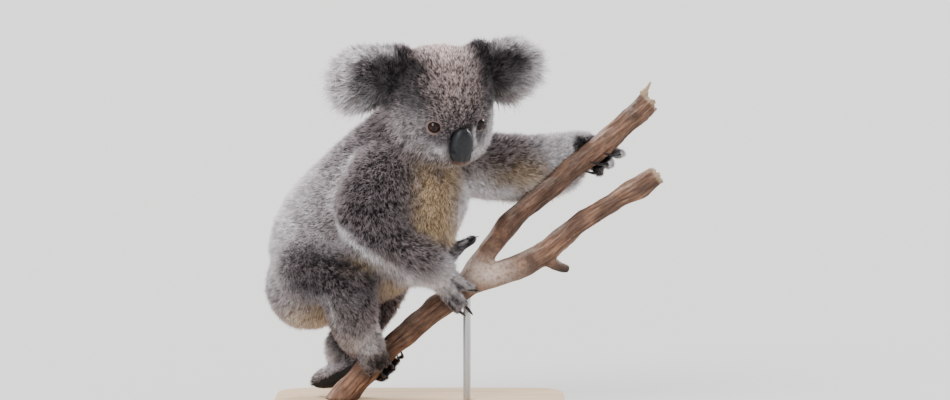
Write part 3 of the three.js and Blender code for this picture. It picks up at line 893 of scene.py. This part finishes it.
def four_corners(mesh):
    """The vertices round each face, with the last one twice where a face has only three, and their number."""
    corners = np.empty(len(mesh.loops), np.int32)
    mesh.loops.foreach_get("vertex_index", corners)
    starts = np.array([face.loop_start for face in mesh.polygons])
    totals = np.array([face.loop_total for face in mesh.polygons])
    return corners[starts[:, None] + np.minimum(np.arange(4), totals[:, None] - 1)], totals


def coat_regions(points, facing, weights, first):
    """The number of the coat piece that each face of the skin carries, by the face's first vertex."""
    local = in_head(points[first])
    names = list(weights)
    chief = np.array(names)[np.argmax(np.stack([weights[name][first] for name in names]), axis=0)]
    parted = {
        "coat_face": local[:, 1] < FACE_FROM_Y,
        "coat_crown": local[:, 1] >= FACE_FROM_Y,
        "coat_front": facing[first] @ unit(np.array(FRONT["away"])) < FRONT["below"],
    }
    parted["coat_rump"] = ~parted["coat_front"] & (points[first, 0] < RUMP_TO_X)
    region = np.zeros(len(first), int)
    for number, (name, (covers, *_)) in enumerate(COAT_PIECES.items()):
        region[np.isin(chief, covers) & parted.get(name, True)] = number
    return region


def note_coat(mesh):
    """Notes on the skin what a tuft takes from its root: length, lie, markings, region and place on a map."""
    points = places(mesh)
    facing = normals(mesh)
    weights = shares(points)
    bare = np.empty(len(points), np.float32)
    mesh.attributes["bare"].data.foreach_get("value", bare)
    off = (in_head(points) - UNDER_NOSE["at"]) / UNDER_NOSE["reach"]
    nose = np.exp(-np.linalg.norm(off, axis=1) ** 8)
    thickness = 1 - bare - nose - 1.3 * gaps(points) - sole(points, facing, weights)
    note(mesh, "thickness", np.clip(thickness, 0, 1))
    note(mesh, "tuft_length", tuft_length(points, weights) * MM)
    note(mesh, "lie", lie_of_coat(points, facing, weights), "FLOAT_VECTOR")
    for name, value in markings(points, facing, weights).items():
        note(mesh, name, value)
    corners, totals = four_corners(mesh)
    note(mesh, "region", coat_regions(points, facing, weights, corners[:, 0]), "INT", "FACE")
    flat = unwrapped(points, corners, weights).reshape(-1, 4, 3)
    note(mesh, "unwrap", flat[np.arange(4) < totals[:, None]], "FLOAT_VECTOR", "CORNER")


def make_coat(skin, material):
    """Tufts of solid mesh over the whole skin, in a few pieces."""
    mesh = skin.data
    note_coat(mesh)
    shapes = {kind: tuft_shape(kind) for kind in TUFTS}
    tree = coat_tree(material)
    inputs = {s.name: s.identifier for s in tree.interface.items_tree if s.in_out == "INPUT"}
    coats = []
    for number, (name, (_, kind, per_cm2, width)) in enumerate(COAT_PIECES.items()):
        coat = piece(name, mesh)
        modifier = coat.modifiers.new("Coat", "NODES")
        modifier.node_group = tree
        for key, value in {
            "Tuft": shapes[kind], "Region": number, "Tufts per m2": per_cm2 * 1e4, "Tuft width": width * MM,
            "Clumps per m": CLUMPS.get(name, OTHER_CLUMPS), "Disorder": DISORDER, "Seed": FIRST_SEED + number,
        }.items():
            modifier[inputs[key]] = value
        coats.append(finished(coat))
        smooth_shaded(coat.data)
    for shape in shapes.values():
        bpy.data.objects.remove(shape)
    return coats


# ---------------------------------------------------------------- materials of the animal

# Colours of the coat at a tuft's root and at its tip.
GREY = ((0.009, 0.007, 0.008), (0.44, 0.37, 0.385))
COLOURS = {
    "warm": ((0.030, 0.020, 0.018), (0.94, 0.74, 0.70)),
    "cream": ((0.34, 0.23, 0.135), (0.80, 0.60, 0.39)),
    "dusk": ((0.005, 0.004, 0.005), (0.085, 0.072, 0.078)),
    "pale": ((0.52, 0.475, 0.495), (1.0, 0.96, 0.985)),
}


def coat_colour(tree, up, shade):
    """The coat's colour at a height up its tufts, through the markings."""
    low, high = GREY
    for name, (root, tip) in COLOURS.items():
        mark = attribute(tree, name)
        low = blend(tree, mark, low, root)
        high = blend(tree, mark, high, tip)
    lit = math_node(tree, "MULTIPLY_ADD", shade, 1.6, -0.98)
    height = math_node(tree, "ADD", up, lit, use_clamp=True)
    rise = add(tree, "ShaderNodeMapRange", {"Value": height, "From Min": 0.0, "From Max": 0.9},
               interpolation_type="SMOOTHSTEP")
    return blend(tree, socket(rise.outputs), low, high)


def fur_material():
    material, tree, surface = new_material("salt and pepper fur", roughness=0.75, specular_ior_level=0.1)
    shade = attribute(tree, "shade")
    tree.links.new(coat_colour(tree, attribute(tree, "tip"), shade), surface.inputs["Base Color"])
    return material


def skin_material():
    material, tree, surface = new_material("skin under the coat", roughness=0.75, specular_ior_level=0.2)
    fluff = noise(tree, 900, 3)
    coat = coat_colour(tree, math_node(tree, "MULTIPLY", fluff, 0.55), fluff)
    grain = noise(tree, 1500, 4)
    leather = ramp(tree, grain, [(0.35, (0.005, 0.004, 0.004)), (0.7, (0.020, 0.017, 0.016))])
    lid = ramp(tree, grain, [(0.3, (0.10, 0.062, 0.056)), (0.75, (0.30, 0.21, 0.195))])
    coat = blend(tree, attribute(tree, "sole"), coat, leather)
    # Painted shade in the creases: the gaps between fingers and toes, the line of the mouth and the inner eye
    # corners.
    coat = blend(tree, attribute(tree, "crease"), coat, (0.012, 0.009, 0.009))
    tree.links.new(blend(tree, attribute(tree, "lid"), coat, lid), surface.inputs["Base Color"])
    bump(tree, surface, math_node(tree, "ADD", grain, fluff), 0.6)
    return material


def nose_material():
    material, tree, surface = new_material(
        "nose leather", specular_ior_level=0.34, coat_weight=0.05, coat_roughness=0.25)
    pebbles = add(tree, "ShaderNodeTexVoronoi", {
        "Vector": add(tree, "ShaderNodeTexCoord").outputs["Object"], "Scale": 1250.0}).outputs["Distance"]
    grain = noise(tree, 230, 6)
    colour = ramp(tree, grain, [(0.3, (0.002, 0.002, 0.003)), (0.75, (0.010, 0.012, 0.017))])
    rim = attribute(tree, "rim")
    brown = ramp(tree, noise(tree, 520, 4), [(0.36, (0.016, 0.009, 0.008)), (0.66, (0.22, 0.10, 0.065))])
    colour = blend(tree, attribute(tree, "nostril"), blend(tree, rim, colour, brown), (0.004, 0.003, 0.003))
    tree.links.new(colour, surface.inputs["Base Color"])
    rough = add(tree, "ShaderNodeMapRange", {"Value": grain, "To Min": 0.28, "To Max": 0.52})
    tree.links.new(socket(rough.outputs), surface.inputs["Roughness"])
    bump(tree, surface, math_node(tree, "ADD", math_node(tree, "MULTIPLY", pebbles, 0.35), grain), 0.7)
    return material


def eye_material():
    material, tree, surface = new_material(
        "eye", roughness=0.12, specular_ior_level=0.18, coat_weight=0.06, coat_roughness=0.02)
    out = attribute(tree, "from_middle")
    streaks = add(tree, "ShaderNodeTexNoise", {
        "W": attribute(tree, "round_iris"), "Scale": 26.0, "Detail": 3.0,
    }, noise_dimensions="1D").outputs["Fac"]
    rings = ramp(tree, out, [
        (0.0, (0.030, 0.010, 0.006)), (0.50, (0.055, 0.018, 0.011)), (0.74, (0.022, 0.009, 0.006)),
        (0.92, (0.008, 0.005, 0.005)), (1.0, (0.014, 0.008, 0.007))])
    iris = blend(tree, streaks, rings, (0.05, 0.02, 0.012), "SOFT_LIGHT")
    slit = add(tree, "ShaderNodeMapRange", {
        "Value": attribute(tree, "from_slit"), "From Min": 0.92, "From Max": 1.06,
    }, interpolation_type="SMOOTHSTEP")
    colour = blend(tree, socket(slit.outputs), (0.003, 0.003, 0.004), iris)
    tree.links.new(colour, surface.inputs["Base Color"])
    return material


def claw_material():
    material, tree, surface = new_material(
        "black horn", specular_ior_level=0.25, coat_weight=0.08, coat_roughness=0.15)
    along = noise(tree, 60, 5, stretch=(9, 9, 1.5))
    colour = ramp(tree, along, [(0.3, (0.004, 0.003, 0.003)), (0.72, (0.022, 0.018, 0.017))])
    tree.links.new(colour, surface.inputs["Base Color"])
    rough = add(tree, "ShaderNodeMapRange", {"Value": along, "To Min": 0.22, "To Max": 0.42})
    tree.links.new(socket(rough.outputs), surface.inputs["Roughness"])
    bump(tree, surface, along, 0.12)
    return material


# ---------------------------------------------------------------- nose, eyes and claws

NOSE = {"at": (0.6, -81.5, -16.5), "half": (14.4, 11, 24.9), "lean": math.radians(-8)}
NOSTRIL = {"at": (8.2, -89, -27), "reach": (3.4, 6, 3.8), "deep": 3.0}
IRIS = {"angle": 46, "pupil": (0.24, 0.36)}    # in degrees from the middle, and in shares of the eye's radius


def sphere(segments, rings):
    """A round mesh of unit size, and its points."""
    shape = bmesh.new()
    bmesh.ops.create_uvsphere(shape, u_segments=segments, v_segments=rings, radius=1)
    mesh = bpy.data.meshes.new("sphere")
    shape.to_mesh(mesh)
    shape.free()
    return mesh, places(mesh) * MM


def make_nose():
    """The big leathery nose: narrow above, with wings round the nostrils and a brown lower rim."""
    mesh, ball = sphere(72, 48)
    size = np.array(NOSE["half"], float) + 0.2
    ball = ball / (np.sum(np.abs(ball) ** 2.5, axis=1) ** (1 / 2.5))[:, None] * size
    wide, high = np.abs(ball[:, 0]), ball[:, 2]
    ball[:, 0] *= 1 - 0.12 * smooth_step(high, 2, 25) + 0.04 * smooth_step(high, -6, -16)
    ball[:, 1] -= 1.6 * np.exp(-((wide - 9) / 6) ** 2 - ((high + 13) / 8) ** 2)
    ball[:, 1] += 0.8 * np.exp(-(wide / 1.6) ** 2) * smooth_step(high, -8, -16)
    lean = np.array(Euler((NOSE["lean"], 0, 0)).to_matrix())
    local = ball @ lean.T + np.array(NOSE["at"])
    opening = blob(mirrored(local), NOSTRIL["at"], NOSTRIL["reach"])
    wing = blob(mirrored(local), np.array(NOSTRIL["at"]) + (4, 2, 4), (2.4, 6, 3.4))
    nostril = np.maximum(opening, 0.85 * wing)
    set_places(mesh, on_head(local))
    set_places(mesh, places(mesh) - normals(mesh) * (NOSTRIL["deep"] * nostril)[:, None])
    note(mesh, "nostril", smooth_step(nostril, 0.4, 0.85))
    note(mesh, "rim", smooth_step(local[:, 2], -31, -36) * 0.9)
    smooth_shaded(mesh)
    on_body(piece("nose_leather", mesh), nose_material(), ["nose"])


def make_eyes(material):
    """Each eye is a ball with a low swell over its iris and a slit of a pupil that stands upright."""
    for (centre, gaze, across, up), side in zip(eye_frames(), ("right", "left")):
        mesh, ball = sphere(48, 32)
        turn = np.stack([across, up, gaze])
        if np.linalg.det(turn) < 0:
            turn[0] *= -1
        out = np.degrees(np.arccos(np.clip(ball[:, 2], -1, 1)))
        swell = 0.035 * smooth_step(out, 42, 12)
        set_places(mesh, centre + (ball * (1 + swell)[:, None] @ turn) * EYE["radius"])
        behind = ball[:, 2] < 0
        note(mesh, "from_middle", np.clip(out / IRIS["angle"], 0, 1))
        note(mesh, "round_iris", np.arctan2(ball[:, 1], ball[:, 0]))
        note(mesh, "from_slit", np.hypot(*(ball[:, :2] / IRIS["pupil"]).T) + 4 * behind)
        smooth_shaded(mesh)
        on_body(piece("eyeball_" + side, mesh), material, ["eye_" + side])


# The claws of the hands' thumbs are mostly hidden in their fur: the place each is drawn in to.
DRAWN_IN = {
    "claw_right_hand_4": (70, 2, 229),
    "claw_right_hand_5": (60, 15, 225),
    "claw_left_hand_4": (214, 36, 360),
    "claw_left_hand_5": (203, 30, 350),
}


def drawn_in_claw(name, co):
    if name not in DRAWN_IN:
        return co
    root = Vector(DRAWN_IN[name]) * MM
    shrunk = 0.45
    return root + (co - root) * shrunk


def make_claws(material):
    """The claws of each paw, rounded from their solids."""
    for paw in PAWS:
        names = [n for n in frame["nodes"] if n.startswith("claw_" + paw)]
        made = piece("claws_" + paw, solids(names, swell=0.9, reshape=drawn_in_claw))
        modified(made, "SUBSURF", levels=2, render_levels=2)
        smooth_shaded(made.data)
        on_body(made, material, names)


# ---------------------------------------------------------------- the branch

BARK_VOXEL = 1.7
# Slivers left on the broken upper end: their foot, their tip and how thick they are at the foot.
SPLINTERS = [
    ((282, 50, 398), (304, 55, 433), 8),
    ((290, 58, 402), (301, 63, 420), 6),
    ((297, 47, 394), (309, 52, 410), 5),
]
FORK = (94, 0, 198)
TWIG = (188, -10, 188)


def round_and_along(points):
    """Each point of the bark rolled out: how far along the branch it lies, and how far round."""
    best = np.full(len(points), 1e9)
    along = np.zeros(len(points))
    turn = np.zeros(len(points))
    start = 0.0
    for line in BRANCH.values():
        for a, b in stretches(line):
            way = unit(b - a)
            share, spot = onto(points, a, b)
            off = points - spot
            away = np.linalg.norm(off, axis=1)
            front = unit(np.array([0, -1, 0]) + way * way[1])
            angle = np.arctan2(off @ front, off @ np.cross(front, way))
            nearer = away < best
            best[nearer] = away[nearer]
            along[nearer] = (start + share * np.linalg.norm(b - a))[nearer]
            turn[nearer] = angle[nearer]
            start += np.linalg.norm(b - a)
    return along, turn


def add_splinters(made):
    """Slivers of wood on the branch's broken upper end."""
    for foot, tip, thick in SPLINTERS:
        way = Vector(tip) - Vector(foot)
        bpy.ops.mesh.primitive_cone_add(
            vertices=7, radius1=thick * MM, radius2=2 * MM, depth=way.length * MM,
            location=(Vector(foot) + Vector(tip)) / 2 * MM, rotation=way.to_track_quat("Z", "Y").to_euler())
        take_in_new_shape(made)


def broken_ends(points):
    """How much each point lies on the broken face of a fork, and how much on a sliver that stands past it."""
    broken = np.zeros(len(points))
    sliver = np.zeros(len(points))
    for fork in ("upper", "lower"):
        before, end = stretches(BRANCH[fork])[-1]
        past = (points - end) @ unit(end - before)
        near = np.linalg.norm(points - end, axis=1) < 45
        broken = np.maximum(broken, smooth_step(past, -2, 2) * near)
        sliver = np.maximum(sliver, smooth_step(past, 4, 9) * near)
    return broken, sliver


def make_perch():
    """The forked branch, with long shallow furrows, a few knots and a splintered upper end."""
    names = ["perch_stem", "perch_upper_fork", "perch_lower_fork"]
    made = piece("forked_branch", solids(names, swell=0.35))
    add_splinters(made)
    modified(made, "REMESH", mode="VOXEL", voxel_size=BARK_VOXEL * MM)
    relax(made.data, 0.5, 8)
    mesh = made.data
    points = places(mesh)
    along, turn = round_and_along(points)
    rolled = np.stack([along / 9, 15 * np.cos(turn), 15 * np.sin(turn)], axis=1)
    furrow = ripple(rolled, 5, 31) * 0.45 + ripple(rolled * (1, 2.2, 2.2), 4, 32) * 0.25
    lumps = ripple(points, 46, 33) * 0.9
    fork = smooth_step(blob(points, FORK, (54, 60, 44)), 0.12, 0.5)
    broken, sliver = broken_ends(points)
    note(mesh, "rolled", rolled * 0.1, "FLOAT_VECTOR")
    note(mesh, "broken", broken)
    note(mesh, "fork", fork)
    note(mesh, "twig_end", blob(points, TWIG, (16, 20, 12)))
    points = points + normals(mesh) * ((furrow * (1 - fork) + lumps) * (1 - broken))[:, None]
    torn = np.abs(ripple(points, 7, 34)) * 2.2 - 1.2
    points = points + normals(mesh) * (broken * (1 - sliver) * torn)[:, None]
    set_places(mesh, points)
    # Paler bark: real wear where the animal rests, and painted light on the faces that look up, in patches.
    rest = blob(points, (90, -10, 186), (34, 30, 17))
    upward = smooth_step(normals(mesh)[:, 2], 0.2, 0.9)
    light_patches = np.clip(0.6 + ripple(points, 60, 35), 0, 1)
    note(mesh, "worn", np.clip(rest + 0.5 * upward * light_patches, 0, 1))
    smooth_shaded(mesh)
    on_body(made, bark_material(), names)


def bark_material():
    material, tree, surface = new_material("bark", roughness=0.8)
    rolled = add(tree, "ShaderNodeAttribute", attribute_name="rolled").outputs["Vector"]
    fibre = add(tree, "ShaderNodeTexNoise", {
        "Vector": rolled, "Scale": 3.2, "Detail": 8.0, "Roughness": 0.68}).outputs["Fac"]
    fibre = blend(tree, attribute(tree, "fork"), fibre, noise(tree, 70, 7, roughness=0.66))
    patch = noise(tree, 26, 5, roughness=0.6)
    speck = noise(tree, 240, 5, roughness=0.7)
    bark = ramp(tree, fibre, [(0.30, (0.040, 0.021, 0.015)), (0.50, (0.135, 0.070, 0.045)),
                              (0.72, (0.31, 0.19, 0.125))])
    patches = ramp(tree, patch, [(0.40, (0.27, 0.24, 0.23)), (0.50, (0.48, 0.47, 0.46)),
                                 (0.64, (0.80, 0.74, 0.68))])
    bark = blend(tree, 0.85, bark, patches, "OVERLAY")
    # The paler bark of that wear and of the painted light on the upper faces.
    worn = math_node(tree, "MULTIPLY", attribute(tree, "worn"), 0.85)
    bark = blend(tree, worn, bark, ramp(tree, speck, [(0.3, (0.36, 0.24, 0.18)), (0.6, (0.66, 0.54, 0.47))]))
    dark = ramp(tree, speck, [(0.28, (0.8, 0.8, 0.8)), (0.42, (0, 0, 0))])
    bark = blend(tree, dark, bark, (0.028, 0.018, 0.014))
    wood = ramp(tree, fibre, [(0.3, (0.22, 0.13, 0.075)), (0.7, (0.58, 0.43, 0.29))])
    bark = blend(tree, attribute(tree, "twig_end"), bark, (0.02, 0.013, 0.011))
    tree.links.new(blend(tree, attribute(tree, "broken"), bark, wood), surface.inputs["Base Color"])
    bump(tree, surface, math_node(tree, "ADD", fibre, math_node(tree, "MULTIPLY", speck, 0.5)), 1.6, 0.9)
    return material


# ---------------------------------------------------------------- the stand and the studio

def board_material():
    material, tree, surface = new_material("oiled beech board", roughness=0.62, specular_ior_level=0.3)
    rings = noise(tree, 9, 5, stretch=(0.6, 7, 7))
    grain = noise(tree, 130, 4, stretch=(0.35, 6, 6))
    colour = ramp(tree, rings, [(0.3, (0.46, 0.31, 0.18)), (0.55, (0.60, 0.43, 0.27)),
                                (0.75, (0.52, 0.36, 0.22))])
    colour = blend(tree, math_node(tree, "MULTIPLY", grain, 0.35), colour, (0.30, 0.18, 0.10))
    tree.links.new(colour, surface.inputs["Base Color"])
    bump(tree, surface, grain, 0.15)
    return material


def steel_material():
    material, tree, surface = new_material("brushed steel", metallic=1.0)
    brush = noise(tree, 400, 3, stretch=(1, 1, 0.03))
    colour = ramp(tree, brush, [(0.3, (0.42, 0.42, 0.43)), (0.7, (0.62, 0.62, 0.62))])
    tree.links.new(colour, surface.inputs["Base Color"])
    rough = add(tree, "ShaderNodeMapRange", {"Value": brush, "To Min": 0.24, "To Max": 0.4})
    tree.links.new(socket(rough.outputs), surface.inputs["Roughness"])
    bump(tree, surface, brush, 0.03)
    return material


def make_stand():
    """The board and the rod keep their solids and get their finishes."""
    for name, material, slot in (("stand_base", board_material(), "stand_board"),
                                 ("stand_rod", steel_material(), "stand_steel")):
        solid = frame["nodes"][name]
        solid.data.materials.clear()
        solid.data.materials.append(material)


CAMERA = {
    "lens": 135.0, "sensor": 36.0, "rise": math.radians(4), "frame_width": 1.235, "aim": (0.0725, 0, 0.2806),
}
FLOOR_REACH = 70.0


def make_camera():
    """A long lens a little above the animal's middle, looking slightly down."""
    camera = bpy.data.cameras.new("camera")
    camera.lens = CAMERA["lens"]
    camera.sensor_width = CAMERA["sensor"]
    camera.clip_end = 200
    made = bpy.data.objects.new("camera", camera)
    bpy.context.scene.collection.objects.link(made)
    away = CAMERA["frame_width"] * CAMERA["lens"] / CAMERA["sensor"]
    rise = CAMERA["rise"]
    made.location = Vector(CAMERA["aim"]) + away * Vector((0, -math.cos(rise), math.sin(rise)))
    made.rotation_euler = (math.pi / 2 - rise, 0, 0)
    bpy.context.scene.camera = made


def make_floor():
    mesh = bpy.data.meshes.new("floor")
    far = FLOOR_REACH
    mesh.from_pydata([(-far, -far, 0), (far, -far, 0), (far, far, 0), (-far, far, 0)], [], [(0, 1, 2, 3)])
    floor = piece("floor", mesh)
    material, _, _ = new_material("pale floor", roughness=0.9, base_color=(0.55, 0.543, 0.53, 1))
    mesh.materials.append(material)


def sun(name, direction, strength, softness, colour=(1, 1, 1)):
    """Light that falls the same way everywhere, so that the floor is lit evenly."""
    light = bpy.data.lights.new(name, "SUN")
    light.energy = strength
    light.angle = math.radians(softness)
    light.color = colour
    made = bpy.data.objects.new(name, light)
    made.rotation_euler = Vector(direction).to_track_quat("-Z", "Y").to_euler()
    bpy.context.scene.collection.objects.link(made)


def make_lights():
    """Soft light from all round, a broad key from the upper left and rims from behind."""
    world = bpy.data.worlds.new("studio")
    bpy.context.scene.world = world
    world.use_nodes = True
    background = world.node_tree.nodes["Background"]
    background.inputs["Color"].default_value = (0.93, 0.95, 0.97, 1)
    background.inputs["Strength"].default_value = 0.82
    sun("key", (0.6, 0.8, -0.8), 3.3, 32, (1, 0.98, 0.95))
    sun("rim", (0.5, -0.8, -0.75), 5.0, 14)
    sun("rim right", (-0.8, -0.9, -0.6), 4.0, 14)


def main():
    skin = make_skin()
    for coat in make_coat(skin, fur_material()):
        on_body(coat)
    on_body(skin, skin_material(), FLESH)
    make_nose()
    make_eyes(eye_material())
    make_claws(claw_material())
    make_perch()
    make_stand()
    make_camera()
    make_floor()
    make_lights()


main()
